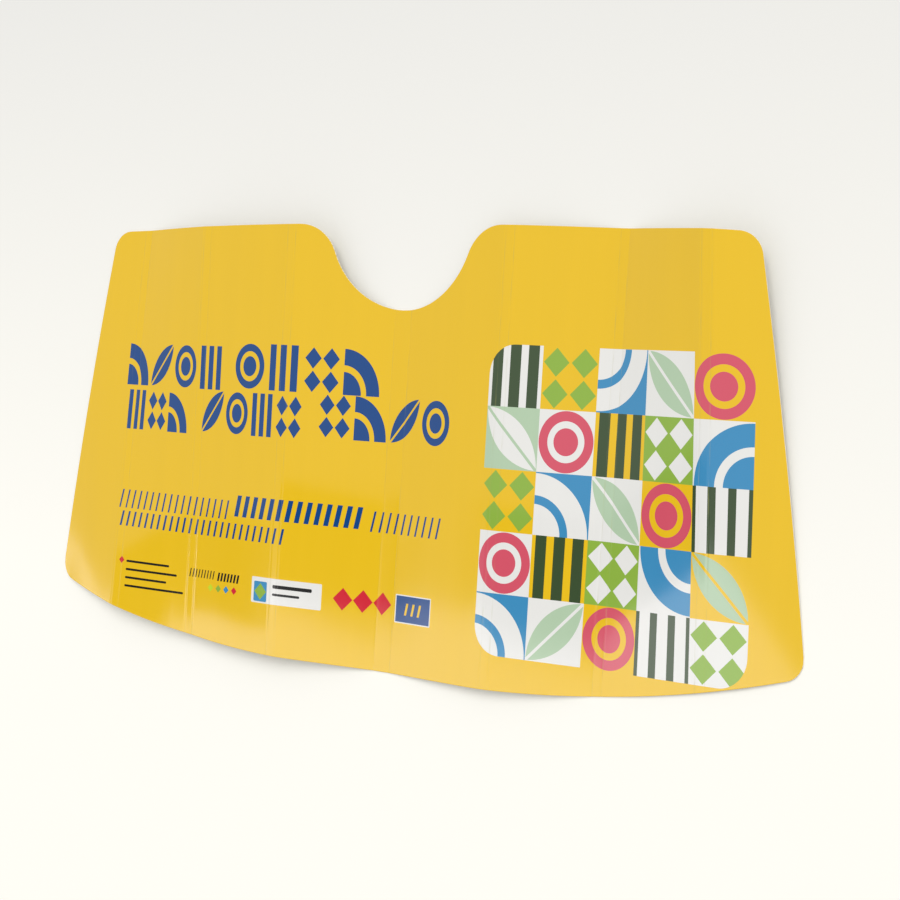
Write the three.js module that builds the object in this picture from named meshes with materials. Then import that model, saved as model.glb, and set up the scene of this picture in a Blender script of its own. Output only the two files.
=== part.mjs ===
// Car windscreen sunshade: one sheet of thin corrugated card, die-cut to the outline of a
// windscreen and scored so that it folds up like a concertina.
// It lies half unfolded on a flat surface, printed side up, on its centre fold, the second fold to
// the right of it and the two ends.
// Millimetres. +X runs along the sheet, +Y towards the edge with the mirror notch, +Z up.
// The origin is on the surface, under the middle of the sheet.
// On the flat sheet, "across" is measured from the centre line and "up" from the lowest point.

import * as THREE from 'three';
import { mergeVertices } from 'three/addons/utils/BufferGeometryUtils.js';

// Flat sheet: the width is measured from bottom corner to bottom corner, and the slant is how
// far each end leans inwards from its bottom corner to its top corner
const bottomWidth = 1280;
const endSlant = 75;
const sheetHeight = 600;
const bottomStraight = 282;
const bottomRise = 72;
const topFall = 10;
const bottomCornerRadius = 28;
const topCornerRadius = 31;
const boardThickness = 2;

// Notch that clears the rear-view mirror
const notchRadius = 122;
const notchDepth = 114;
const shoulderRadius = 60;

// Panels between the seven folds, counted from the centre fold outwards. The slope of the end
// panel would reach the surface a little outside the bottom corner.
const innerPanel = 184;
const middlePanel = 166;
const outerPanel = 150;
const slopeOverrun = 10;

// Folds: each is a pair of score lines with a strip of card between them. The strip of the
// centre fold is wider, so that the two folded halves close over one another.
const foldStrip = 14;
const centreStrip = 28;

// Height over the surface of the folds, at the bottom edge and at the top edge. Left of the
// centre, three neighbouring folds are raised into one broad ridge.
const leftOuterBottom = 25;
const leftOuterTop = 0;
const leftMiddleBottom = 17;
const leftMiddleTop = 28;
const leftInnerBottom = 24;
const leftInnerTop = 33;
const rightInnerBottom = 15;
const rightInnerTop = 18;
const rightOuterBottom = 0;
const rightOuterTop = 43;

// Distances from the centre fold
const middleFold = innerPanel + middlePanel;
const outerFold = middleFold + outerPanel;
const slopeEnd = bottomWidth / 2 + slopeOverrun;

// The folds from left to right, between the two lines outside the ends where the end panels'
// slopes would reach the surface
const folds = [
  { across: -slopeEnd, strip: foldStrip, atBottom: 0, atTop: 0 },
  { across: -outerFold, strip: foldStrip, atBottom: leftOuterBottom, atTop: leftOuterTop },
  { across: -middleFold, strip: foldStrip, atBottom: leftMiddleBottom, atTop: leftMiddleTop },
  { across: -innerPanel, strip: foldStrip, atBottom: leftInnerBottom, atTop: leftInnerTop },
  { across: 0, strip: centreStrip, atBottom: 0, atTop: 0 },
  { across: innerPanel, strip: foldStrip, atBottom: rightInnerBottom, atTop: rightInnerTop },
  { across: middleFold, strip: foldStrip, atBottom: 0, atTop: 0 },
  { across: outerFold, strip: foldStrip, atBottom: rightOuterBottom, atTop: rightOuterTop },
  { across: slopeEnd, strip: foldStrip, atBottom: 0, atTop: 0 },
];

// Fineness of the faceted surface
const arcStep = THREE.MathUtils.degToRad(10);
const widestColumn = 40;
const narrowestColumn = 2;
const rowCount = 8;

const cardYellow = 0xe8bd2f;

// Radius of an arc that climbs by the rise over the half chord
function arcRadius(halfChord, rise) {
  return (halfChord ** 2 + rise ** 2) / (2 * rise);
}

// Height over its centre of a circle, at a distance to the side of the centre
function circleHeight(radius, aside) {
  return Math.sqrt(radius ** 2 - aside ** 2);
}

// Shallow arcs of the long edges: the bottom edge is straight in its middle and climbs in an
// arc to each end, and the top edge is one arc
const bottomArc = { radius: arcRadius((bottomWidth - bottomStraight) / 2, bottomRise) };
bottomArc.centre = new THREE.Vector2(bottomStraight / 2, bottomArc.radius);
const topHalfWidth = bottomWidth / 2 - endSlant;
const topArc = { radius: arcRadius(topHalfWidth, topFall) };
topArc.centre = new THREE.Vector2(0, sheetHeight - topArc.radius);

// Straight slanted end, from the bottom corner to the top corner
const bottomCorner = new THREE.Vector2(bottomWidth / 2, bottomRise);
const topCorner = new THREE.Vector2(topHalfWidth, sheetHeight - topFall);
const endDirection = topCorner.clone().sub(bottomCorner).normalize();
const endInward = new THREE.Vector2(-endDirection.y, endDirection.x);

// Centre of the rounding between the slanted end and a long edge's arc
function cornerCentre(longArc, cornerRadius, isTop) {
  const start = bottomCorner.clone().addScaledVector(endInward, cornerRadius);
  const toStart = start.clone().sub(longArc.centre);
  const half = toStart.dot(endDirection);
  const reach = toStart.lengthSq() - (longArc.radius - cornerRadius) ** 2;
  const root = Math.sqrt(half ** 2 - reach);
  const along = isTop ? root - half : -root - half;
  return start.addScaledVector(endDirection, along);
}

// Centre of the shoulder between the notch and the top edge
function shoulderCentre() {
  const fromNotch = notchRadius + shoulderRadius;
  const fromTopArc = topArc.radius - shoulderRadius;
  const notchY = notch.centre.y;
  const topY = topArc.centre.y;
  const up = (fromNotch ** 2 - fromTopArc ** 2 + topY ** 2 - notchY ** 2) / (2 * (topY - notchY));
  return new THREE.Vector2(circleHeight(fromNotch, up - notchY), up);
}

const notch = { radius: notchRadius };
notch.centre = new THREE.Vector2(0, sheetHeight - notchDepth + notchRadius);
const shoulder = { radius: shoulderRadius, centre: shoulderCentre() };
const lowCorner = {
  radius: bottomCornerRadius,
  centre: cornerCentre(bottomArc, bottomCornerRadius, false),
};
const highCorner = {
  radius: topCornerRadius,
  centre: cornerCentre(topArc, topCornerRadius, true),
};

// Angle at which one point is seen from another
function angleOf(from, to) {
  return Math.atan2(to.y - from.y, to.x - from.x);
}

// Angles where each rounding starts and ends
const endNormalAngle = Math.atan2(-endInward.y, -endInward.x);
const notchStart = -Math.PI / 2;
const notchEnd = angleOf(notch.centre, shoulder.centre);
const shoulderStart = notchEnd + Math.PI;
const shoulderEnd = angleOf(topArc.centre, shoulder.centre);
const highStart = angleOf(topArc.centre, highCorner.centre);
const lowEnd = angleOf(bottomArc.centre, lowCorner.centre);

// Distance from the centre line of the point at an angle on a rounding
function acrossAt(arc, angle) {
  return arc.centre.x + arc.radius * Math.cos(angle);
}

// Half the length of the sheet: the low corner's rounding ends in one upright facet
const halfLength = acrossAt(lowCorner, endNormalAngle);

// Upper edge of the right half, from the notch to the slanted end
function upperEdge(across) {
  if (across < acrossAt(notch, notchEnd)) {
    return notch.centre.y - circleHeight(notch.radius, across);
  }
  if (across < acrossAt(shoulder, shoulderEnd)) {
    return shoulder.centre.y + circleHeight(shoulder.radius, across - shoulder.centre.x);
  }
  if (across < acrossAt(highCorner, highStart)) {
    return topArc.centre.y + circleHeight(topArc.radius, across);
  }
  if (across < acrossAt(highCorner, endNormalAngle)) {
    return highCorner.centre.y + circleHeight(highCorner.radius, across - highCorner.centre.x);
  }
  const fromCorner = (across - bottomCorner.x) / endDirection.x;
  return bottomCorner.y + fromCorner * endDirection.y;
}

// Lower edge of the right half
function lowerEdge(across) {
  if (across < bottomArc.centre.x) return 0;
  if (across < acrossAt(lowCorner, lowEnd)) {
    return bottomArc.centre.y - circleHeight(bottomArc.radius, across - bottomArc.centre.x);
  }
  return lowCorner.centre.y - circleHeight(lowCorner.radius, across - lowCorner.centre.x);
}

// Score lines of the sheet with the height of the card there, for a point this far up
function scoreLines(up) {
  const lines = [];
  for (const fold of folds) {
    const height = THREE.MathUtils.lerp(fold.atBottom, fold.atTop, up / sheetHeight);
    lines.push({ across: fold.across - fold.strip / 2, height });
    lines.push({ across: fold.across + fold.strip / 2, height });
  }
  return lines;
}

// Flat pieces between the score lines, each with its run along X and its normal once folded
function flatPieces(up) {
  const lines = scoreLines(up);
  const pieces = [];
  let x = 0;
  for (let i = 0; i + 1 < lines.length; i += 1) {
    const width = lines[i + 1].across - lines[i].across;
    const climb = lines[i + 1].height - lines[i].height;
    const run = Math.sqrt(width ** 2 - climb ** 2);
    const normal = new THREE.Vector2(-climb / width, run / width);
    pieces.push({ start: lines[i].across, width, x, run, height: lines[i].height, climb, normal });
    x += run;
  }
  return pieces;
}

// Place on the folded sheet of a point of the flat one, raised over the back of the card
function foldedPoint(across, up, raised) {
  const pieces = flatPieces(up);
  const index = pieces.findLastIndex((piece) => piece.start <= across);
  const piece = pieces[index];
  const share = (across - piece.start) / piece.width;
  const before = share === 0 ? pieces[index - 1] : piece;
  const outward = piece.normal.clone().add(before.normal);
  outward.divideScalar(1 + piece.normal.dot(before.normal));
  const middle = pieces[(pieces.length - 1) / 2];
  const centreX = middle.x + middle.run / 2;
  return new THREE.Vector3(
    piece.x + share * piece.run - centreX + outward.x * raised,
    up,
    piece.height + share * piece.climb + outward.y * raised,
  );
}

// Distances from the centre line of the points along a rounding
function roundingColumns(arc, start, end) {
  const steps = Math.ceil(Math.abs(end - start) / arcStep);
  const columns = [];
  for (let i = 0; i <= steps; i += 1) {
    columns.push(acrossAt(arc, THREE.MathUtils.lerp(start, end, i / steps)));
  }
  return columns;
}

// Columns of points over the right half, wherever the outline or the fold needs one
function halfColumns() {
  const scored = scoreLines(0).map((line) => line.across);
  const kept = scored.filter((across) => across > 0 && across < halfLength);
  kept.push(0, halfLength);
  const wanted = [
    ...roundingColumns(notch, notchStart, notchEnd),
    ...roundingColumns(shoulder, shoulderStart, shoulderEnd),
    ...roundingColumns(highCorner, highStart, endNormalAngle),
    ...roundingColumns(lowCorner, lowEnd, -endNormalAngle),
  ];
  for (let across = widestColumn; across < halfLength; across += widestColumn) {
    wanted.push(across);
  }
  for (const across of wanted) {
    if (kept.every((other) => Math.abs(other - across) > narrowestColumn)) kept.push(across);
  }
  return kept.sort((a, b) => a - b);
}

// A finely divided box whose points are moved to their places on the folded sheet
function foldedSheet() {
  const right = halfColumns();
  const columns = [...right.slice(1).reverse().map((across) => -across), ...right];
  const box = new THREE.BoxGeometry(1, 1, 1, columns.length - 1, rowCount, 1);
  box.deleteAttribute('normal');
  box.deleteAttribute('uv');
  const points = box.attributes.position;
  for (let i = 0; i < points.count; i += 1) {
    const across = columns[Math.round((points.getX(i) + 0.5) * (columns.length - 1))];
    const low = lowerEdge(Math.abs(across));
    const high = upperEdge(Math.abs(across));
    const up = THREE.MathUtils.lerp(low, high, points.getY(i) + 0.5);
    const raised = points.getZ(i) > 0 ? boardThickness : 0;
    points.setXYZ(i, ...foldedPoint(across, up, raised).toArray());
  }
  const sheet = mergeVertices(box);
  sheet.computeBoundingBox();
  const middle = sheet.boundingBox.getCenter(new THREE.Vector3());
  sheet.translate(-middle.x, -middle.y, 0);
  const faceted = sheet.toNonIndexed();
  faceted.computeVertexNormals();
  return faceted;
}

const card = new THREE.MeshStandardMaterial({ color: cardYellow, roughness: 0.35, metalness: 0 });
const shadeSheet = new THREE.Mesh(foldedSheet(), card);
shadeSheet.name = 'shade_sheet';

const sunshade = new THREE.Group();
sunshade.name = 'windscreen_sunshade';
sunshade.add(shadeSheet);

export default sunshade;
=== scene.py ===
# Folding windscreen sunshade: one printed and film-laminated sheet of thin corrugated card,
# lying half unfolded with its printed side up. It replaces the plain sheet of the frame.

import math
from collections import namedtuple

import bpy
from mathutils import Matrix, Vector


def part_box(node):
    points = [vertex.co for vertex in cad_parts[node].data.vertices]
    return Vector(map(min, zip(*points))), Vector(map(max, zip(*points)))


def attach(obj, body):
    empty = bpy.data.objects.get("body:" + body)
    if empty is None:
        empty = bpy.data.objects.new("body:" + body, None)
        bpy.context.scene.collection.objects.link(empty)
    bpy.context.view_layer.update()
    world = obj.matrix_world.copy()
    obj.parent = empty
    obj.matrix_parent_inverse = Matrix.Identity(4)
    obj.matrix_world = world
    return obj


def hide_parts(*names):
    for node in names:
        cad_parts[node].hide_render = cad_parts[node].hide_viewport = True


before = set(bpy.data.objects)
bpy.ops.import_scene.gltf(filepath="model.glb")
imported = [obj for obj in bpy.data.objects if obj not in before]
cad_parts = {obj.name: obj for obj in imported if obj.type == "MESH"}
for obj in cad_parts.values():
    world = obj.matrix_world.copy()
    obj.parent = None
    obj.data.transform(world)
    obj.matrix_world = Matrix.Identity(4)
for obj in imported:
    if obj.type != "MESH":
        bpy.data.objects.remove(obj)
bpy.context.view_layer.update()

MM = 0.001

# Flat sheet, in millimetres, with "across" from its centre line and "up" from its lowest point:
# bottom width from corner to corner, the lean of each end, and the shallow arcs of the long edges
BOTTOM_WIDTH = 1280
END_SLANT = 75
SHEET_HEIGHT = 600
BOTTOM_STRAIGHT = 282
BOTTOM_RISE = 72
TOP_FALL = 10
BOTTOM_CORNER_RADIUS = 28
TOP_CORNER_RADIUS = 31
BOARD_THICKNESS = 2

# Notch for the mirror
NOTCH_RADIUS = 122
NOTCH_DEPTH = 114
SHOULDER_RADIUS = 60

# Panels between the seven folds, from the centre fold outwards, and how far outside the bottom
# corner the slope of the end panel would reach the surface
INNER_PANEL = 184
MIDDLE_PANEL = 166
OUTER_PANEL = 150
SLOPE_OVERRUN = 10
MIDDLE_FOLD = INNER_PANEL + MIDDLE_PANEL
OUTER_FOLD = MIDDLE_FOLD + OUTER_PANEL
SLOPE_END = BOTTOM_WIDTH / 2 + SLOPE_OVERRUN

# Folds from left to right: pairs of score lines with a strip of card between them, and the
# height of the underside at the bottom edge and at the top edge
FOLD_STRIP = 14
CENTRE_STRIP = 28
Fold = namedtuple("Fold", "across strip at_bottom at_top")
FOLDS = [
    Fold(-SLOPE_END, FOLD_STRIP, 0, 0),
    Fold(-OUTER_FOLD, FOLD_STRIP, 25, 0),
    Fold(-MIDDLE_FOLD, FOLD_STRIP, 17, 28),
    Fold(-INNER_PANEL, FOLD_STRIP, 24, 33),
    Fold(0, CENTRE_STRIP, 0, 0),
    Fold(INNER_PANEL, FOLD_STRIP, 15, 18),
    Fold(MIDDLE_FOLD, FOLD_STRIP, 0, 0),
    Fold(OUTER_FOLD, FOLD_STRIP, 0, 43),
    Fold(SLOPE_END, FOLD_STRIP, 0, 0),
]

# Softness of the folded board: the reach of a bend on each side of its score line, how far the
# board is crushed beside the line and the share of its thickness left on the line, how far a
# panel bows up between its folds, and the rounding of the cut edges
BEND_REACH = 2.6
SCORE_REACH = 2.2
SCORED_SHARE = 0.9
PANEL_BOW = 0.8
EDGE_ROUNDING = 0.35

# Fineness of the mesh: columns of points along the sheet, closer at the score lines, and rows
# across it. The first and the last inner row hug the cut edges.
ARC_STEP = math.radians(5)
WIDEST_COLUMN = 9
NARROWEST_COLUMN = 0.5
SCORE_COLUMNS = [-3.2, -SCORE_REACH, -1.4, -0.7, 0, 0.7, 1.4, SCORE_REACH, 3.2]
ROW_COUNT = 60
EDGE_ROW = 0.9
ROUNDED_EDGE_ANGLE = math.radians(55)
SMOOTH_ANGLE = math.radians(50)

# Name of the map that holds each point's place on the flat sheet
FLAT_MAP = "flat_sheet"


Arc = namedtuple("Arc", "radius across up")


def arc_radius(half_chord, rise):
    """Radius of an arc that climbs by the rise over the half chord."""
    return (half_chord ** 2 + rise ** 2) / (2 * rise)


def circle_height(radius, aside):
    return math.sqrt(max(radius ** 2 - aside ** 2, 0))


def along_arc(arc, angle):
    """Distance from the centre line of the point at an angle on an arc."""
    return arc.across + arc.radius * math.cos(angle)


def angle_between(start, end):
    return math.atan2(end.up - start.up, end.across - start.across)


BOTTOM_ARC_RADIUS = arc_radius((BOTTOM_WIDTH - BOTTOM_STRAIGHT) / 2, BOTTOM_RISE)
BOTTOM_ARC = Arc(BOTTOM_ARC_RADIUS, BOTTOM_STRAIGHT / 2, BOTTOM_ARC_RADIUS)
TOP_HALF_WIDTH = BOTTOM_WIDTH / 2 - END_SLANT
TOP_ARC_RADIUS = arc_radius(TOP_HALF_WIDTH, TOP_FALL)
TOP_ARC = Arc(TOP_ARC_RADIUS, 0, SHEET_HEIGHT - TOP_ARC_RADIUS)

# Straight slanted end, from the bottom corner to the top corner
BOTTOM_CORNER = Vector((BOTTOM_WIDTH / 2, BOTTOM_RISE))
TOP_CORNER = Vector((TOP_HALF_WIDTH, SHEET_HEIGHT - TOP_FALL))
END_DIRECTION = (TOP_CORNER - BOTTOM_CORNER).normalized()
END_INWARD = Vector((-END_DIRECTION.y, END_DIRECTION.x))
END_NORMAL_ANGLE = math.atan2(-END_INWARD.y, -END_INWARD.x)


def corner_arc(long_arc, radius, is_top):
    """Rounding between the slanted end and a long edge."""
    start = BOTTOM_CORNER + END_INWARD * radius
    to_start = start - Vector((long_arc.across, long_arc.up))
    half = to_start.dot(END_DIRECTION)
    reach = to_start.length_squared - (long_arc.radius - radius) ** 2
    root = math.sqrt(half ** 2 - reach)
    centre = start + END_DIRECTION * (root - half if is_top else -root - half)
    return Arc(radius, centre.x, centre.y)


def shoulder_arc(notch):
    """Rounding between the notch and the top edge."""
    from_notch = NOTCH_RADIUS + SHOULDER_RADIUS
    from_top = TOP_ARC.radius - SHOULDER_RADIUS
    difference = from_notch ** 2 - from_top ** 2 + TOP_ARC.up ** 2 - notch.up ** 2
    up = difference / (2 * (TOP_ARC.up - notch.up))
    return Arc(SHOULDER_RADIUS, circle_height(from_notch, up - notch.up), up)


NOTCH = Arc(NOTCH_RADIUS, 0, SHEET_HEIGHT - NOTCH_DEPTH + NOTCH_RADIUS)
SHOULDER = shoulder_arc(NOTCH)
LOW_CORNER = corner_arc(BOTTOM_ARC, BOTTOM_CORNER_RADIUS, False)
HIGH_CORNER = corner_arc(TOP_ARC, TOP_CORNER_RADIUS, True)

# Angles where the roundings start and end
NOTCH_START = -math.pi / 2
NOTCH_END = angle_between(NOTCH, SHOULDER)
SHOULDER_START = NOTCH_END + math.pi
SHOULDER_END = angle_between(TOP_ARC, SHOULDER)
HIGH_START = angle_between(TOP_ARC, HIGH_CORNER)
LOW_END = angle_between(BOTTOM_ARC, LOW_CORNER)
HALF_LENGTH = along_arc(LOW_CORNER, END_NORMAL_ANGLE)


def upper_edge(across):
    """Upper edge of the right half, from the notch to the slanted end."""
    if across < along_arc(NOTCH, NOTCH_END):
        return NOTCH.up - circle_height(NOTCH.radius, across)
    if across < along_arc(SHOULDER, SHOULDER_END):
        return SHOULDER.up + circle_height(SHOULDER.radius, across - SHOULDER.across)
    if across < along_arc(HIGH_CORNER, HIGH_START):
        return TOP_ARC.up + circle_height(TOP_ARC.radius, across)
    if across < along_arc(HIGH_CORNER, END_NORMAL_ANGLE):
        return HIGH_CORNER.up + circle_height(HIGH_CORNER.radius, across - HIGH_CORNER.across)
    share = (across - BOTTOM_CORNER.x) / END_DIRECTION.x
    return BOTTOM_CORNER.y + share * END_DIRECTION.y


def lower_edge(across):
    """Lower edge of the right half."""
    if across < BOTTOM_ARC.across:
        return 0
    if across < along_arc(LOW_CORNER, LOW_END):
        return BOTTOM_ARC.up - circle_height(BOTTOM_ARC.radius, across - BOTTOM_ARC.across)
    return LOW_CORNER.up - circle_height(LOW_CORNER.radius, across - LOW_CORNER.across)


def score_lines(up):
    """Score lines as (across, height of the underside), for a point this far up."""
    lines = []
    for fold in FOLDS:
        height = fold.at_bottom + (fold.at_top - fold.at_bottom) * up / SHEET_HEIGHT
        lines.append((fold.across - fold.strip / 2, height))
        lines.append((fold.across + fold.strip / 2, height))
    return lines


FlatPiece = namedtuple("FlatPiece", "start width x run height slope")


def flat_pieces(up):
    """Flat pieces between the score lines, with their run along X and their slope once folded."""
    lines = score_lines(up)
    pieces = []
    x = 0
    for (start, height), (end, next_height) in zip(lines, lines[1:]):
        width = end - start
        slope = math.asin((next_height - height) / width)
        run = width * math.cos(slope)
        pieces.append(FlatPiece(start, width, x, run, height, slope))
        x += run
    return pieces


def bend_lift(pieces, across):
    """How far the rounding of the nearest bend lifts a point off the sharp fold."""
    lift = 0
    for before, piece in zip(pieces, pieces[1:]):
        short = BEND_REACH - abs(across - piece.start)
        if short > 0:
            lift += (piece.slope - before.slope) * short ** 2 / (4 * BEND_REACH)
    return lift


def folded_point(across, up):
    """Place on the underside of the folded sheet of a point of the flat one."""
    pieces = flat_pieces(up)
    index = max(i for i, piece in enumerate(pieces) if piece.start <= across)
    piece = pieces[index]
    share = (across - piece.start) / piece.width
    middle = pieces[(len(pieces) - 1) // 2]
    lift = bend_lift(pieces, across)
    if piece.width > CENTRE_STRIP:
        lift += PANEL_BOW * math.sin(math.pi * share) ** 2
    x = piece.x + share * piece.run - (middle.x + middle.run / 2)
    z = piece.height + share * piece.width * math.sin(piece.slope)
    return Vector((x - lift * math.sin(piece.slope), up, z + lift * math.cos(piece.slope)))


def rounding_columns(arc, start, end):
    """Distances from the centre line of the points along a rounding."""
    steps = math.ceil(abs(end - start) / ARC_STEP)
    return [along_arc(arc, start + (end - start) * i / steps) for i in range(steps + 1)]


def half_columns():
    """Columns of points over the right half, wherever the outline or a fold needs one."""
    kept = [0, HALF_LENGTH]
    for across, _ in score_lines(0):
        kept += [across + offset for offset in SCORE_COLUMNS]
    kept = [across for across in kept if 0 <= across <= HALF_LENGTH]
    wanted = [
        *rounding_columns(NOTCH, NOTCH_START, NOTCH_END),
        *rounding_columns(SHOULDER, SHOULDER_START, SHOULDER_END),
        *rounding_columns(HIGH_CORNER, HIGH_START, END_NORMAL_ANGLE),
        *rounding_columns(LOW_CORNER, LOW_END, -END_NORMAL_ANGLE),
    ]
    wanted += [i * WIDEST_COLUMN for i in range(1, int(HALF_LENGTH / WIDEST_COLUMN))]
    for across in wanted:
        if min(abs(other - across) for other in kept) > NARROWEST_COLUMN:
            kept.append(across)
    return sorted(kept)


def select_nothing():
    bpy.ops.object.select_all(action="DESELECT")


def apply_modifier(piece, kind, **settings):
    """Adds a modifier with its settings and applies it."""
    modifier = piece.modifiers.new(kind.title(), kind)
    for name, value in settings.items():
        setattr(modifier, name, value)
    bpy.context.view_layer.objects.active = piece
    bpy.ops.object.modifier_apply(modifier=modifier.name)


def row_place(row, low, high):
    """Rows lie evenly, apart from the first and the last inner one, which hug the cut edges."""
    if row == 0:
        return low
    if row == ROW_COUNT:
        return high
    share = (row - 1) / (ROW_COUNT - 2)
    return low + EDGE_ROW + (high - low - 2 * EDGE_ROW) * share


def flat_blank():
    """A finely divided flat grid, cut to the outline of the sheet, in millimetres."""
    right = half_columns()
    columns = [-across for across in reversed(right[1:])] + right
    select_nothing()
    bpy.ops.mesh.primitive_grid_add(
        x_subdivisions=len(columns) - 1, y_subdivisions=ROW_COUNT, size=1
    )
    blank = bpy.context.object
    blank.name = "printed_sheet"
    for vertex in blank.data.vertices:
        across = columns[round((vertex.co.x + 0.5) * (len(columns) - 1))]
        row = round((vertex.co.y + 0.5) * ROW_COUNT)
        vertex.co = (across, row_place(row, lower_edge(abs(across)), upper_edge(abs(across))), 0)
    return blank


def map_flat_places(blank):
    """Writes each point's place on the flat sheet, in metres, to the sheet's UV map."""
    while blank.data.uv_layers:
        blank.data.uv_layers.remove(blank.data.uv_layers[0])
    places = blank.data.uv_layers.new(name=FLAT_MAP)
    for loop in blank.data.loops:
        across, up, _ = blank.data.vertices[loop.vertex_index].co
        places.data[loop.index].uv = (across * MM, up * MM)


def weigh_scores(blank):
    """Vertex group that is full on the board and empty on the score lines."""
    group = blank.vertex_groups.new(name="uncrushed_board")
    lines = [across for across, _ in score_lines(0)]
    for vertex in blank.data.vertices:
        nearest = min(abs(vertex.co.x - line) for line in lines)
        group.add([vertex.index], min(nearest / SCORE_REACH, 1) ** 2, "REPLACE")
    return group


def fold_blank(blank):
    """Folds the flat blank and sets it where the frame has its sheet."""
    for vertex in blank.data.vertices:
        vertex.co = folded_point(vertex.co.x, vertex.co.y) * MM
    low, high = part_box("shade_sheet")
    places = [vertex.co for vertex in blank.data.vertices]
    for axis in (0, 1):
        spread = [place[axis] for place in places]
        shift = (low[axis] + high[axis] - min(spread) - max(spread)) / 2
        for place in places:
            place[axis] += shift


def make_sheet():
    """The whole sheet: cut, scored, folded, given its thickness and its soft cut edges."""
    sheet = flat_blank()
    map_flat_places(sheet)
    group = weigh_scores(sheet)
    fold_blank(sheet)
    surface_tree = board_surface_group()
    for finish in (printed_film(surface_tree), card_back(surface_tree), cut_edge()):
        sheet.data.materials.append(finish)
    apply_modifier(
        sheet,
        "SOLIDIFY",
        thickness=BOARD_THICKNESS * MM,
        offset=1,
        use_even_offset=True,
        vertex_group=group.name,
        thickness_vertex_group=SCORED_SHARE,
        material_offset=1,
        material_offset_rim=2,
    )
    apply_modifier(
        sheet,
        "BEVEL",
        width=EDGE_ROUNDING * MM,
        segments=2,
        limit_method="ANGLE",
        angle_limit=ROUNDED_EDGE_ANGLE,
        use_clamp_overlap=False,
    )
    select_nothing()
    sheet.select_set(True)
    bpy.context.view_layer.objects.active = sheet
    bpy.ops.object.shade_smooth_by_angle(angle=SMOOTH_ANGLE)
    return sheet


class Wiring:
    """Adds nodes to a node tree, each fed with values or with outputs of other nodes."""

    def __init__(self, tree):
        self.tree = tree

    def add(self, kind, feeds=None, **settings):
        node = self.tree.nodes.new(kind)
        for name, value in settings.items():
            setattr(node, name, value)
        for socket, value in (feeds or {}).items():
            self.feed(node.inputs[socket], value)
        return node

    def feed(self, socket, value):
        if isinstance(value, bpy.types.NodeSocket):
            self.tree.links.new(value, socket)
        else:
            socket.default_value = value

    def group(self, tree, feeds):
        """Outputs of a node group that is given these feeds."""
        return self.add("ShaderNodeGroup", feeds, node_tree=tree).outputs

    def math(self, operation, *values):
        return self.add("ShaderNodeMath", dict(enumerate(values)), operation=operation).outputs[0]

    def product(self, first, *others):
        for other in others:
            first = self.math("MULTIPLY", first, other)
        return first

    def climb(self, value, low, high):
        """0 up to the low value, 1 from the high one, and even in between."""
        feeds = {"Value": value, "From Min": low, "From Max": high}
        return self.add("ShaderNodeMapRange", feeds).outputs["Result"]

    def vector(self, x, y):
        return self.add("ShaderNodeCombineXYZ", {"X": x, "Y": y}).outputs["Vector"]

    def noise(self, place, scale, detail):
        """Noise of about 0 to 1 at a place."""
        feeds = {"Vector": place, "Scale": scale, "Detail": detail}
        return self.add("ShaderNodeTexNoise", feeds).outputs[0]

    def mix(self, share, first, second):
        """The first colour where the share is 0, and the second one where it is 1."""
        # A Mix node's sockets share their names, so its colours go by number
        feeds = {0: share, 6: first, 7: second}
        return self.add("ShaderNodeMix", feeds, data_type="RGBA").outputs[2]

    def flat_place(self):
        """Place on the flat sheet, in metres, as two outputs: across and up."""
        place = self.add("ShaderNodeUVMap", uv_map=FLAT_MAP)
        parts = self.add("ShaderNodeSeparateXYZ", {"Vector": place.outputs["UV"]})
        return parts.outputs["X"], parts.outputs["Y"]


def number_group(name, inputs, outputs=("Mask",)):
    """A new node group whose inputs and outputs are all numbers."""
    tree = bpy.data.node_groups.new(name, "ShaderNodeTree")
    for label in inputs:
        tree.interface.new_socket(label, in_out="INPUT", socket_type="NodeSocketFloat")
    for label in outputs:
        tree.interface.new_socket(label, in_out="OUTPUT", socket_type="NodeSocketFloat")
    wiring = Wiring(tree)
    given = wiring.add("NodeGroupInput").outputs
    return wiring, {label: given[label] for label in inputs}


def put_out(wiring, *values):
    """Feeds the group's outputs, in their order, and gives back the finished group."""
    result = wiring.add("NodeGroupOutput")
    for socket, value in zip(result.inputs, values):
        wiring.feed(socket, value)
    return wiring.tree


def ink(colour):
    """Linear colour of a hexadecimal sRGB one."""
    parts = [int(colour[i:i + 2], 16) / 255 for i in (0, 2, 4)]
    linear = [part / 12.92 if part < 0.04045 else ((part + 0.055) / 1.055) ** 2.4 for part in parts]
    return (*linear, 1)


# Inks of the print
YELLOW = ink("E8BD1E")
NAVY = ink("124685")
BLUE = ink("3E8CBB")
GREEN = ink("8DB143")
FOREST = ink("3C4F32")
PINK = ink("D35568")
MINT = ink("B1C9AA")
CHARCOAL = ink("202020")
WHITE = ink("E6E5E1")
RED = ink("D02838")
YELLOW_GREEN = ink("C3D62E")

# Lean of the bars, as their run over their rise, and the share of its step that a cell fills
BAR_SLANT = 0.2
CELL_SHARE = 0.9


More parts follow.
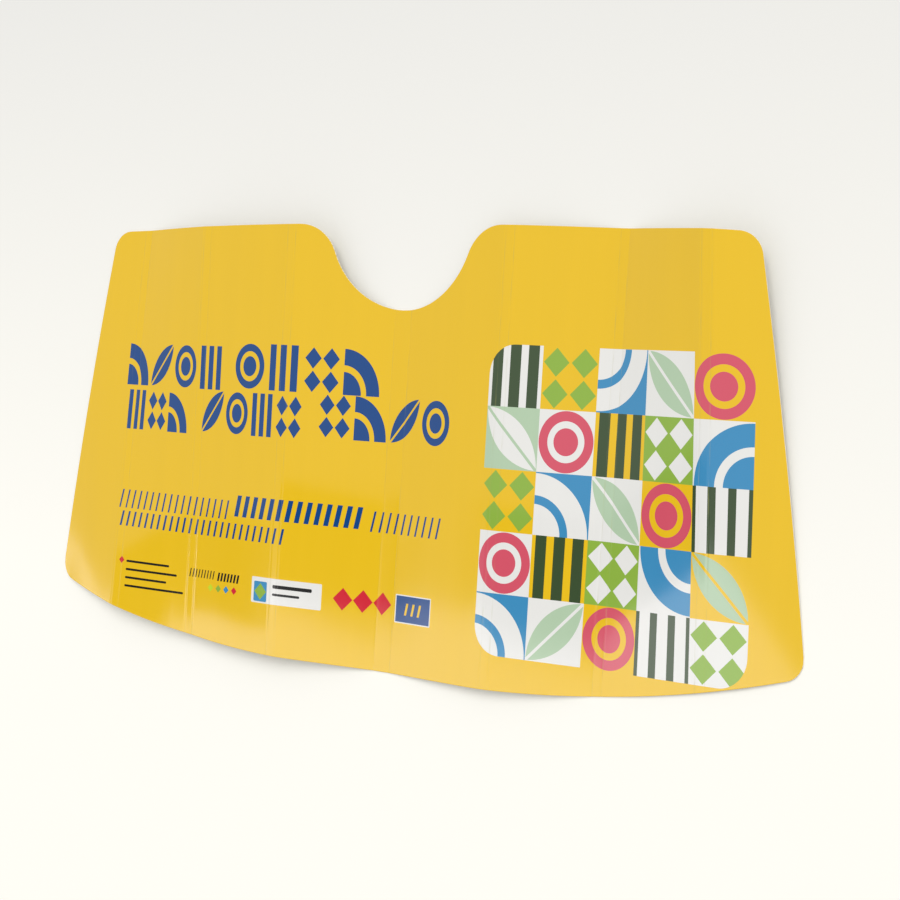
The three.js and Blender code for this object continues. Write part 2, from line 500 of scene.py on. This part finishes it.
def bar_row_group():
    """Slanted bars side by side in a field."""
    inputs = ["Across", "Up", "Left", "Middle", "Height", "Pitch", "Bar", "Count", "Slant"]
    wiring, given = number_group("bar_row", inputs)
    rise = wiring.math("SUBTRACT", given["Up"], given["Middle"])
    lean = wiring.math("MULTIPLY", rise, given["Slant"])
    along = wiring.math("SUBTRACT", wiring.math("SUBTRACT", given["Across"], given["Left"]), lean)
    from_bar = wiring.math("FLOORED_MODULO", along, given["Pitch"])
    in_bar = wiring.math("LESS_THAN", from_bar, given["Bar"])
    past_start = wiring.math("GREATER_THAN", along, 0.0)
    length = wiring.math("MULTIPLY", given["Pitch"], given["Count"])
    before_end = wiring.math("LESS_THAN", along, length)
    half = wiring.math("MULTIPLY", given["Height"], 0.5)
    level = wiring.math("LESS_THAN", wiring.math("ABSOLUTE", rise), half)
    return put_out(wiring, wiring.product(past_start, before_end, level, in_bar))


def patch_group():
    """Rectangle with rounded corners."""
    inputs = ["Across", "Up", "Centre", "Middle", "Width", "Height", "Corner"]
    wiring, given = number_group("patch", inputs)
    corners = []
    for place, centre, size in (("Across", "Centre", "Width"), ("Up", "Middle", "Height")):
        away = wiring.math("ABSOLUTE", wiring.math("SUBTRACT", given[place], given[centre]))
        inner = wiring.math("SUBTRACT", wiring.math("MULTIPLY", given[size], 0.5), given["Corner"])
        corners.append(wiring.math("MAXIMUM", wiring.math("SUBTRACT", away, inner), 0.0))
    squares = wiring.math("ADD", *[wiring.math("MULTIPLY", side, side) for side in corners])
    past_inner = wiring.math("SQRT", squares)
    reach = wiring.math("MAXIMUM", given["Corner"], 0.00001)
    return put_out(wiring, wiring.math("LESS_THAN", past_inner, reach))


def lozenge_group():
    """Diamond that stands on its point."""
    inputs = ["Across", "Up", "Centre", "Middle", "Width", "Height"]
    wiring, given = number_group("lozenge", inputs)
    shares = []
    for place, centre, size in (("Across", "Centre", "Width"), ("Up", "Middle", "Height")):
        away = wiring.math("ABSOLUTE", wiring.math("SUBTRACT", given[place], given[centre]))
        shares.append(wiring.math("DIVIDE", away, given[size]))
    return put_out(wiring, wiring.math("LESS_THAN", wiring.math("ADD", *shares), 0.5))


# Motifs of a cell, in shares of its sides. A ring or a gap has a middle radius and half a width.
FAN_RADIUS = 0.98
FAN_GAP = (0.56, 0.07)
LEAF_RADIUS = 0.99
LEAF_HALF_MIDRIB = 0.035
TARGET_DISC = 0.22
TARGET_RING = (0.41, 0.08)
STRIPE_HALF_STEP = 0.167
STRIPE_HALF_WIDTH = 0.1
DIAMOND_REACH = 0.23
MOTIF_COUNT = 5.0


def distance(wiring, a, b, centre_a, centre_b):
    """Distance from a centre in the cell."""
    sides = [wiring.math("SUBTRACT", a, centre_a), wiring.math("SUBTRACT", b, centre_b)]
    squares = wiring.math("ADD", *[wiring.math("MULTIPLY", side, side) for side in sides])
    return wiring.math("SQRT", squares)


def fan_motif(wiring, a, b):
    """Quarter disc about the lower left corner, parted by a ring."""
    from_corner = distance(wiring, a, b, -0.5, -0.5)
    quarter = wiring.math("LESS_THAN", from_corner, FAN_RADIUS)
    return wiring.math("SUBTRACT", quarter, wiring.math("COMPARE", from_corner, *FAN_GAP))


def leaf_motif(wiring, a, b):
    """Leaf from the lower left corner to the upper right one, parted by its midrib."""
    sides = [distance(wiring, a, b, -corner, corner) for corner in (0.5, -0.5)]
    inside = [wiring.math("LESS_THAN", side, LEAF_RADIUS) for side in sides]
    from_midrib = wiring.math("ABSOLUTE", wiring.math("SUBTRACT", a, b))
    return wiring.product(*inside, wiring.math("GREATER_THAN", from_midrib, LEAF_HALF_MIDRIB))


def target_motif(wiring, a, b):
    """Disc in a ring."""
    from_centre = distance(wiring, a, b, 0.0, 0.0)
    disc = wiring.math("LESS_THAN", from_centre, TARGET_DISC)
    return wiring.math("ADD", disc, wiring.math("COMPARE", from_centre, *TARGET_RING))


def stripes_motif(wiring, a, b):
    """Three upright stripes."""
    return wiring.math("LESS_THAN", wiring.math("PINGPONG", a, STRIPE_HALF_STEP), STRIPE_HALF_WIDTH)


def diamonds_motif(wiring, a, b):
    """Four diamonds, one in each quarter."""
    quarters = [wiring.math("SUBTRACT", wiring.math("ABSOLUTE", side), 0.25) for side in (a, b)]
    spread = wiring.math("ADD", *[wiring.math("ABSOLUTE", side) for side in quarters])
    return wiring.math("LESS_THAN", spread, DIAMOND_REACH)


def picked_motif(wiring, number, a, b):
    """Mask of the motif with this number, from places of -0.5 to 0.5 along the cell's sides."""
    total = 0.0
    motifs = [fan_motif, leaf_motif, target_motif, stripes_motif, diamonds_motif]
    for motif_number, motif in enumerate(motifs):
        chosen = wiring.math("COMPARE", number, float(motif_number), 0.5)
        total = wiring.math("MULTIPLY_ADD", chosen, motif(wiring, a, b), total)
    return total


def frieze_group():
    """Row of cells, each with one motif, in turn."""
    inputs = ["Across", "Up", "Left", "Middle", "Height", "Pitch", "Cell", "Count", "First"]
    wiring, given = number_group("frieze", inputs)
    along = wiring.math("SUBTRACT", given["Across"], given["Left"])
    steps = wiring.math("DIVIDE", along, given["Pitch"])
    in_step = wiring.math("SUBTRACT", wiring.math("FRACT", steps), 0.5)
    a = wiring.math("DIVIDE", wiring.math("MULTIPLY", in_step, given["Pitch"]), given["Cell"])
    rise = wiring.math("SUBTRACT", given["Up"], given["Middle"])
    b = wiring.math("DIVIDE", rise, given["Height"])
    within = [wiring.math("LESS_THAN", wiring.math("ABSOLUTE", side), 0.5) for side in (a, b)]
    past_start = wiring.math("GREATER_THAN", along, 0.0)
    before_end = wiring.math("LESS_THAN", steps, given["Count"])
    index = wiring.math("ADD", wiring.math("FLOOR", steps), given["First"])
    number = wiring.math("FLOORED_MODULO", index, MOTIF_COUNT)
    motif = picked_motif(wiring, number, a, b)
    return put_out(wiring, wiring.product(past_start, before_end, *within, motif))


class Print:
    """Paints shapes of ink one over another on the flat sheet. Sizes are in millimetres."""

    def __init__(self, wiring, ground):
        self.wiring = wiring
        self.across, self.up = wiring.flat_place()
        self.colour = ground
        self.bar_row = bar_row_group()
        self.patch = patch_group()
        self.lozenge = lozenge_group()
        self.frieze = frieze_group()

    def paint(self, mask, colour):
        self.colour = self.wiring.mix(mask, self.colour, colour)

    def mask(self, shape, sizes, **numbers):
        """Mask of a shape for sizes in millimetres, and for numbers that have no unit."""
        feeds = {name: size * MM for name, size in sizes.items()}
        feeds.update(numbers, Across=self.across, Up=self.up)
        return self.wiring.group(shape, feeds)[0]

    def bars(self, colour, left, middle, count, height, pitch, bar):
        sizes = dict(Left=left, Middle=middle, Height=height, Pitch=pitch, Bar=bar)
        self.paint(self.mask(self.bar_row, sizes, Count=count, Slant=BAR_SLANT), colour)

    def field(self, colour, centre, middle, width, height, corner=0):
        sizes = dict(Centre=centre, Middle=middle, Width=width, Height=height, Corner=corner)
        self.paint(self.mask(self.patch, sizes), colour)

    def diamond(self, colour, centre, middle, size):
        sizes = dict(Centre=centre, Middle=middle, Width=size, Height=size)
        self.paint(self.mask(self.lozenge, sizes), colour)

    def motifs(self, colour, left, right, middle, height, count, first):
        pitch = (right - left) / count
        sizes = dict(Left=left, Middle=middle, Height=height, Pitch=pitch, Cell=pitch * CELL_SHARE)
        self.paint(self.mask(self.frieze, sizes, Count=count, First=first), colour)


def print_heading(sheet_print):
    """Two bold rows of navy motifs, in groups of three and four."""
    sheet_print.motifs(NAVY, left=-518, right=-303, middle=395, height=62, count=4, first=0)
    sheet_print.motifs(NAVY, left=-283, right=-27, middle=400, height=64, count=4, first=2)
    sheet_print.motifs(NAVY, left=-513, right=-371, middle=328, height=58, count=3, first=3)
    sheet_print.motifs(NAVY, left=-346, right=-149, middle=333, height=60, count=4, first=1)
    sheet_print.motifs(NAVY, left=-127, right=101, middle=338, height=61, count=4, first=4)


def print_subtitle(sheet_print):
    """A long row of fine ticks with a bolder stretch, and a shorter row under it."""
    sheet_print.bars(NAVY, left=-505, middle=196, count=18, height=27, pitch=13, bar=3.2)
    sheet_print.bars(NAVY, left=-264, middle=203, count=14, height=30, pitch=16, bar=8)
    sheet_print.bars(NAVY, left=-30, middle=200, count=10, height=28, pitch=13, bar=3.2)
    sheet_print.bars(NAVY, left=-501, middle=167, count=26, height=22, pitch=13, bar=4)


def print_small_lines(sheet_print):
    """Four dashes beside a red diamond, and fine and bold ticks over four small diamonds."""
    for middle, width in ((105, 88), (93, 104), (81, 84), (69, 118)):
        sheet_print.field(CHARCOAL, -482 + width / 2, middle, width, height=3.2, corner=1.5)
    sheet_print.diamond(RED, centre=-492, middle=106, size=11)
    sheet_print.bars(CHARCOAL, left=-352, middle=101, count=9, height=12, pitch=6, bar=2)
    sheet_print.bars(CHARCOAL, left=-294, middle=100, count=7, height=12, pitch=6.5, bar=3.6)
    for index, colour in enumerate((YELLOW_GREEN, GREEN, BLUE, RED)):
        sheet_print.diamond(colour, centre=-308 + 16 * index, middle=83, size=11)


def print_label(sheet_print):
    """White label with a green diamond on a blue field, and two dashes."""
    sheet_print.field(WHITE, centre=-164, middle=90, width=122, height=36, corner=2)
    sheet_print.field(BLUE, centre=-208, middle=88, width=25, height=28, corner=2)
    sheet_print.diamond(GREEN, centre=-208, middle=88, size=23)
    sheet_print.field(CHARCOAL, centre=-152, middle=97, width=66, height=5, corner=2)
    sheet_print.field(CHARCOAL, centre=-162, middle=86, width=46, height=3.4, corner=1.6)


def print_blocks(sheet_print):
    """Three red diamonds, and a navy block with a white frame and three yellow bars."""
    for index in range(3):
        sheet_print.diamond(RED, centre=-69 + 32 * index, middle=91, size=31)
    sheet_print.field(WHITE, centre=51, middle=88, width=66, height=38, corner=1)
    sheet_print.field(NAVY, centre=51, middle=88, width=63, height=35, corner=0.5)
    sheet_print.bars(YELLOW, left=37, middle=88, count=3, height=16, pitch=12, bar=4)


# Mosaic on the right: the side of its tiles, how many lie in a row and in a column, its lower
# left corner, and the inks that its tiles take in turn
TILE = 80
TILES = 5
MOSAIC_LEFT = 164
MOSAIC_BOTTOM = 46
TILE_INKS = [BLUE, PINK, GREEN, MINT, FOREST]
TILE_GROUNDS = 3.0


def mosaic_group():
    """Tile mosaic: mask of the motifs, and the numbers of each tile's ink and of its ground."""
    wiring, given = number_group("tile_mosaic", ["Column", "Row"], ["Motif", "Ink", "Ground"])
    places = [given["Column"], given["Row"]]
    column, row = [wiring.math("FLOOR", place) for place in places]
    in_tile = [wiring.math("SUBTRACT", wiring.math("FRACT", place), 0.5) for place in places]
    # Every other row is flipped sideways, and every other pair of columns upside down
    column_pair = wiring.math("FLOOR", wiring.math("MULTIPLY", column, 0.5))
    flips = [wiring.math("PINGPONG", number, 1.0) for number in (row, column_pair)]
    signs = [wiring.math("MULTIPLY_ADD", flip, -2.0, 1.0) for flip in flips]
    a, b = [wiring.math("MULTIPLY", side, sign) for side, sign in zip(in_tile, signs)]
    motif_step = wiring.math("MULTIPLY_ADD", row, 2.0, column)
    motif_number = wiring.math("FLOORED_MODULO", motif_step, MOTIF_COUNT)
    ink_step = wiring.math("MULTIPLY_ADD", column, 3.0, row)
    ink_number = wiring.math("FLOORED_MODULO", ink_step, float(len(TILE_INKS)))
    ground_step = wiring.math("ADD", column, row)
    ground_number = wiring.math("FLOORED_MODULO", ground_step, TILE_GROUNDS)
    return put_out(wiring, picked_motif(wiring, motif_number, a, b), ink_number, ground_number)


def print_mosaic(sheet_print):
    """A square mosaic with rounded corners, its tiles on ink, white and yellow in turn."""
    wiring = sheet_print.wiring
    past_left = wiring.math("SUBTRACT", sheet_print.across, MOSAIC_LEFT * MM)
    past_bottom = wiring.math("SUBTRACT", sheet_print.up, MOSAIC_BOTTOM * MM)
    column = wiring.math("DIVIDE", past_left, TILE * MM)
    row = wiring.math("DIVIDE", past_bottom, TILE * MM)
    tiles = wiring.group(mosaic_group(), {"Column": column, "Row": row})
    tile_ink = TILE_INKS[0]
    for number, colour in enumerate(TILE_INKS[1:], start=1):
        chosen = wiring.math("COMPARE", tiles["Ink"], float(number), 0.5)
        tile_ink = wiring.mix(chosen, tile_ink, colour)
    on_white = wiring.math("COMPARE", tiles["Ground"], 1.0, 0.5)
    on_yellow = wiring.math("COMPARE", tiles["Ground"], 2.0, 0.5)
    ground = wiring.mix(on_yellow, wiring.mix(on_white, tile_ink, WHITE), YELLOW)
    figure = wiring.mix(wiring.math("ADD", on_white, on_yellow), WHITE, tile_ink)
    tile_colour = wiring.mix(tiles["Motif"], ground, figure)
    size = TILE * TILES
    sizes = dict(Centre=MOSAIC_LEFT + size / 2, Middle=MOSAIC_BOTTOM + size / 2)
    sizes.update(Width=size, Height=size, Corner=TILE / 2)
    sheet_print.paint(sheet_print.mask(sheet_print.patch, sizes), tile_colour)


def new_material(name):
    """A material with its own Principled shader, and the wiring of its nodes."""
    material = bpy.data.materials.new(name)
    material.use_nodes = True
    material.node_tree.nodes.clear()
    wiring = Wiring(material.node_tree)
    shader = wiring.add("ShaderNodeBsdfPrincipled")
    output = wiring.add("ShaderNodeOutputMaterial")
    wiring.feed(output.inputs["Surface"], shader.outputs["BSDF"])
    return material, wiring, shader


# Corrugated board: the pitch of its flutes, and the relief of the flutes and of slow waves, in
# millimetres, under the film and on the back. The waves are drawn out along the flutes.
FLUTE_PITCH = 3.3
FILM_FLUTES = 0.004
FILM_WAVES = 0.12
BACK_FLUTES = 0.03
BACK_WAVES = 0.3
WAVE_SCALE = 45.0
WAVE_SQUEEZE = 0.06

# Score lines of the right half, which are those of the left half too
HALF_SCORES = sorted({abs(line) for line, _ in score_lines(0) if abs(line) < HALF_LENGTH})

# Film: its roughness, and how far the waves change its roughness and the tone of the print
FILM_ROUGHNESS = 0.1
FILM_WAVING = 0.04

# Cracks of the film along the score lines: how far they reach from the line, in millimetres, how
# strongly they show, and what they add to the roughness. They break off and start again along
# the line, by a noise that is squeezed sideways.
CRACK_REACH = 1.4
CRACK_STRENGTH = 0.35
CRACK_ROUGHNESS = 0.4
CRACK_COLOUR = ink("AAA558")
CRACK_SCALE = 28.0
CRACK_SQUEEZE = 30.0
CRACK_BREAKS = (0.48, 0.62)

# Liner of the back, darker on the flutes, the fibres and the waves by these shares
LINER_PALE = ink("ECE8DC")
LINER_DARK = ink("CFC8B4")
FIBRE_SCALE = 900.0
FLUTE_SHARE = 0.12
FIBRE_SHARE = 0.5
WAVE_SHARE = 0.5

# Cut edge: its paper, and the painted shade that darkens the hollows of its open flutes, and where
# that shade starts and is at its darkest, in flute pitches from the crest between two hollows
CUT_PAPER = ink("F0EBDD")
HOLLOW_SHADE = ink("CBC3AF")
HOLLOW_EDGES = (0.26, 0.36)


def board_surface_group():
    """Flutes that show through the liner, and slow waves of the board along them."""
    inputs = ["Across", "Up", "Flute Height", "Wave Height"]
    wiring, given = number_group("board_surface", inputs, ["Height", "Flute", "Wave"])
    turn = wiring.math("MULTIPLY", given["Across"], 2 * math.pi / (FLUTE_PITCH * MM))
    flute = wiring.math("SINE", turn)
    place = wiring.vector(given["Across"], wiring.math("MULTIPLY", given["Up"], WAVE_SQUEEZE))
    wave = wiring.math("SUBTRACT", wiring.noise(place, WAVE_SCALE, 3.0), 0.5)
    flute_height = wiring.math("MULTIPLY", flute, given["Flute Height"])
    height = wiring.math("MULTIPLY_ADD", wave, given["Wave Height"], flute_height)
    return put_out(wiring, height, flute, wave)


def score_wear_group():
    """Broken hairlines where the film and the ink have cracked along the score lines."""
    inputs = ["Across", "Up", "Reach", "Amount"]
    wiring, given = number_group("score_wear", inputs)
    aside = wiring.math("ABSOLUTE", given["Across"])
    nearest = 1.0
    for line in HALF_SCORES:
        away = wiring.math("ABSOLUTE", wiring.math("SUBTRACT", aside, line * MM))
        nearest = wiring.math("MINIMUM", away, nearest)
    closeness = wiring.math("SUBTRACT", 1.0, wiring.math("DIVIDE", nearest, given["Reach"]))
    sideways = wiring.math("MULTIPLY", given["Across"], CRACK_SQUEEZE)
    noise = wiring.noise(wiring.vector(sideways, given["Up"]), CRACK_SCALE, 4.0)
    broken = wiring.climb(noise, *CRACK_BREAKS)
    line_mask = wiring.math("MAXIMUM", closeness, 0.0)
    return put_out(wiring, wiring.product(line_mask, broken, given["Amount"]))


def feed_relief(wiring, shader, height):
    """Turns a height in metres into the shader's normal."""
    bump = wiring.add("ShaderNodeBump", {"Strength": 1.0, "Distance": 1.0, "Height": height})
    wiring.feed(shader.inputs["Normal"], bump.outputs["Normal"])


def board_surface(wiring, tree, flutes, waves):
    """Height, flute and wave of the board's surface, for the relief of its flutes and waves."""
    across, up = wiring.flat_place()
    feeds = {"Across": across, "Up": up, "Flute Height": flutes * MM, "Wave Height": waves * MM}
    return wiring.group(tree, feeds)


def printed_film(surface_tree):
    """Glossy film over the print, with faint flutes under it and cracks along the scores."""
    material, wiring, shader = new_material("printed_film")
    sheet_print = Print(wiring, YELLOW)
    print_heading(sheet_print)
    print_subtitle(sheet_print)
    print_small_lines(sheet_print)
    print_label(sheet_print)
    print_blocks(sheet_print)
    print_mosaic(sheet_print)
    height, _, wave = board_surface(wiring, surface_tree, FILM_FLUTES, FILM_WAVES)
    feeds = {"Across": sheet_print.across, "Up": sheet_print.up}
    feeds.update(Reach=CRACK_REACH * MM, Amount=CRACK_STRENGTH)
    cracks = wiring.group(score_wear_group(), feeds)[0]
    tone = wiring.math("MULTIPLY_ADD", wave, FILM_WAVING, 1.0)
    toned = wiring.add("ShaderNodeHueSaturation", {"Value": tone, "Color": sheet_print.colour})
    colour = wiring.mix(cracks, toned.outputs["Color"], CRACK_COLOUR)
    wiring.feed(shader.inputs["Base Color"], colour)
    whole = wiring.math("MULTIPLY_ADD", wave, FILM_WAVING, FILM_ROUGHNESS)
    roughness = wiring.math("MULTIPLY_ADD", cracks, CRACK_ROUGHNESS, whole)
    wiring.feed(shader.inputs["Roughness"], roughness)
    shader.inputs["IOR"].default_value = 1.5
    feed_relief(wiring, shader, height)
    return material


def card_back(surface_tree):
    """Uncoated back of the board: off-white liner with the flutes faintly showing."""
    material, wiring, shader = new_material("card_back")
    height, flute, wave = board_surface(wiring, surface_tree, BACK_FLUTES, BACK_WAVES)
    fibres = wiring.noise(wiring.vector(*wiring.flat_place()), FIBRE_SCALE, 2.0)
    darkness = wiring.math("MULTIPLY", fibres, FIBRE_SHARE)
    darkness = wiring.math("MULTIPLY_ADD", flute, FLUTE_SHARE, darkness)
    darkness = wiring.math("MULTIPLY_ADD", wave, WAVE_SHARE, darkness)
    wiring.feed(shader.inputs["Base Color"], wiring.mix(darkness, LINER_PALE, LINER_DARK))
    wiring.feed(shader.inputs["Roughness"], wiring.math("MULTIPLY_ADD", fibres, 0.2, 0.6))
    feed_relief(wiring, shader, height)
    return material


def cut_edge():
    """Die-cut edge: flutes cut open, as painted shade, along the long edges, closed along the ends.
    """
    material, wiring, shader = new_material("cut_edge")
    across, up = wiring.flat_place()
    swing = wiring.math("PINGPONG", wiring.math("DIVIDE", across, FLUTE_PITCH * MM), 0.5)
    opening = wiring.climb(swing, *HOLLOW_EDGES)
    beyond = wiring.math("SUBTRACT", wiring.math("ABSOLUTE", across), BOTTOM_CORNER.x * MM)
    above = wiring.math("SUBTRACT", up, BOTTOM_CORNER.y * MM)
    sideways = wiring.math("MULTIPLY", beyond, END_INWARD.x)
    from_end = wiring.math("MULTIPLY_ADD", above, END_INWARD.y, sideways)
    off_end = wiring.math("GREATER_THAN", from_end, BOARD_THICKNESS * MM)
    # Painted shade: the open flutes darken the colour, since the mesh has no hollows in them
    hollow = wiring.math("MULTIPLY", opening, off_end)
    wiring.feed(shader.inputs["Base Color"], wiring.mix(hollow, CUT_PAPER, HOLLOW_SHADE))
    wiring.feed(shader.inputs["Roughness"], wiring.math("MULTIPLY_ADD", hollow, 0.1, 0.8))
    return material


# Camera that looks down on the sheet at the photograph's angle
CAMERA_PLACE = (1.8650, 0.0657, 2.2702)
CAMERA_TURN = (1.612, 37.990, 4.580)
CAMERA_LENS = 87.61

# Floor: its size, and where along Y its painted shade starts to grey it and where it is grey all
# over
FLOOR_SIZE = 30
NEAR_WHITE = -0.2
FAR_GREY = 0.65
FLOOR_NEAR = ink("FBF9F1")
FLOOR_FAR = ink("E8E7E3")


def set_camera():
    camera = bpy.data.cameras.new("camera")
    camera.lens = CAMERA_LENS
    holder = bpy.data.objects.new("camera", camera)
    holder.location = CAMERA_PLACE
    holder.rotation_euler = [math.radians(turn) for turn in CAMERA_TURN]
    bpy.context.scene.collection.objects.link(holder)
    bpy.context.scene.camera = holder


def set_floor():
    """Pale floor: white on the near side, with painted shade that greys it a little towards the far
    side.
    """
    select_nothing()
    bpy.ops.mesh.primitive_plane_add(size=FLOOR_SIZE)
    floor = bpy.context.object
    floor.name = "floor"
    material, wiring, shader = new_material("pale_floor")
    place = wiring.add("ShaderNodeTexCoord").outputs["Object"]
    along_y = wiring.add("ShaderNodeSeparateXYZ", {"Vector": place}).outputs["Y"]
    # Painted shade: the floor's colour greys towards the far side, standing in for light that falls
    # off there
    painted_far_shade = wiring.climb(along_y, NEAR_WHITE, FAR_GREY)
    wiring.feed(shader.inputs["Base Color"], wiring.mix(painted_far_shade, FLOOR_NEAR, FLOOR_FAR))
    shader.inputs["Roughness"].default_value = 0.9
    shader.inputs["Specular IOR Level"].default_value = 0
    floor.data.materials.append(material)


# Light of the studio: even light of the room, a wide key light from beyond the notched edge, a
# long strip of light past the lower edge, and two black flags over the sheet. The strip and the
# flags are seen only in the gloss of the film.
ROOM_STRENGTH = 0.7
KEY_STRENGTH = 1.35
KEY_SPREAD = 40
KEY_PLACE = (2, 3, 5)
STRIP_RADIANCE = 2.15
STRIP_LENGTH = 8
STRIP_WIDTH = 0.6
STRIP_PLACE = (-2.5, -0.85, 2.4)
FLAG_HEIGHT = 0.8
FLAG_BLACK = ink("101010")
Flag = namedtuple("Flag", "name x y length width")
FLAGS = [
    Flag("inner_flag", -0.31, -0.21, 0.72, 0.20),
    Flag("left_flag", -1.205, -0.305, 0.43, 0.21),
]


def place_light(lamp, place, aim):
    """Hangs a lamp at its place, pointed at the aim and not seen itself."""
    holder = bpy.data.objects.new(lamp.name, lamp)
    holder.location = place
    holder.rotation_euler = (Vector(aim) - Vector(place)).to_track_quat("-Z", "Y").to_euler()
    holder.visible_camera = False
    bpy.context.scene.collection.objects.link(holder)
    return holder


def set_room_light():
    """White light from all sides."""
    world = bpy.data.worlds.new("studio")
    bpy.context.scene.world = world
    world.use_nodes = True
    background = world.node_tree.nodes["Background"]
    background.inputs["Color"].default_value = (1, 1, 1, 1)
    background.inputs["Strength"].default_value = ROOM_STRENGTH


def add_key_light():
    key = bpy.data.lights.new("key_light", "SUN")
    key.energy = KEY_STRENGTH
    key.angle = math.radians(KEY_SPREAD)
    place_light(key, KEY_PLACE, (0, 0, 0))


def add_strip_light():
    """Long strip of light that shows only as a veil in the gloss of the film."""
    strip = bpy.data.lights.new("strip_softbox", "AREA")
    strip.shape = "RECTANGLE"
    strip.size = STRIP_LENGTH
    strip.size_y = STRIP_WIDTH
    strip.energy = STRIP_RADIANCE * math.pi * STRIP_LENGTH * STRIP_WIDTH
    below = (STRIP_PLACE[0], STRIP_PLACE[1], 0)
    holder = place_light(strip, STRIP_PLACE, below)
    holder.visible_diffuse = False


def add_flag(flag):
    """Black card that hangs level over the sheet and is seen only in the gloss of its film."""
    select_nothing()
    bpy.ops.mesh.primitive_plane_add(size=1, location=(flag.x, flag.y, FLAG_HEIGHT))
    card = bpy.context.object
    card.name = flag.name
    card.scale = (flag.length, flag.width, 1)
    bpy.ops.object.transform_apply(location=False, rotation=False, scale=True)
    material, _, shader = new_material(flag.name)
    shader.inputs["Base Color"].default_value = FLAG_BLACK
    shader.inputs["Roughness"].default_value = 1
    card.data.materials.append(material)
    card.visible_camera = False
    card.visible_diffuse = False
    card.visible_shadow = False


bpy.context.scene.view_settings.view_transform = "Standard"
set_camera()
sheet = make_sheet()
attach(sheet, "root")
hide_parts("shade_sheet")
set_floor()
set_room_light()
add_key_light()
add_strip_light()
for flag in FLAGS:
    add_flag(flag)
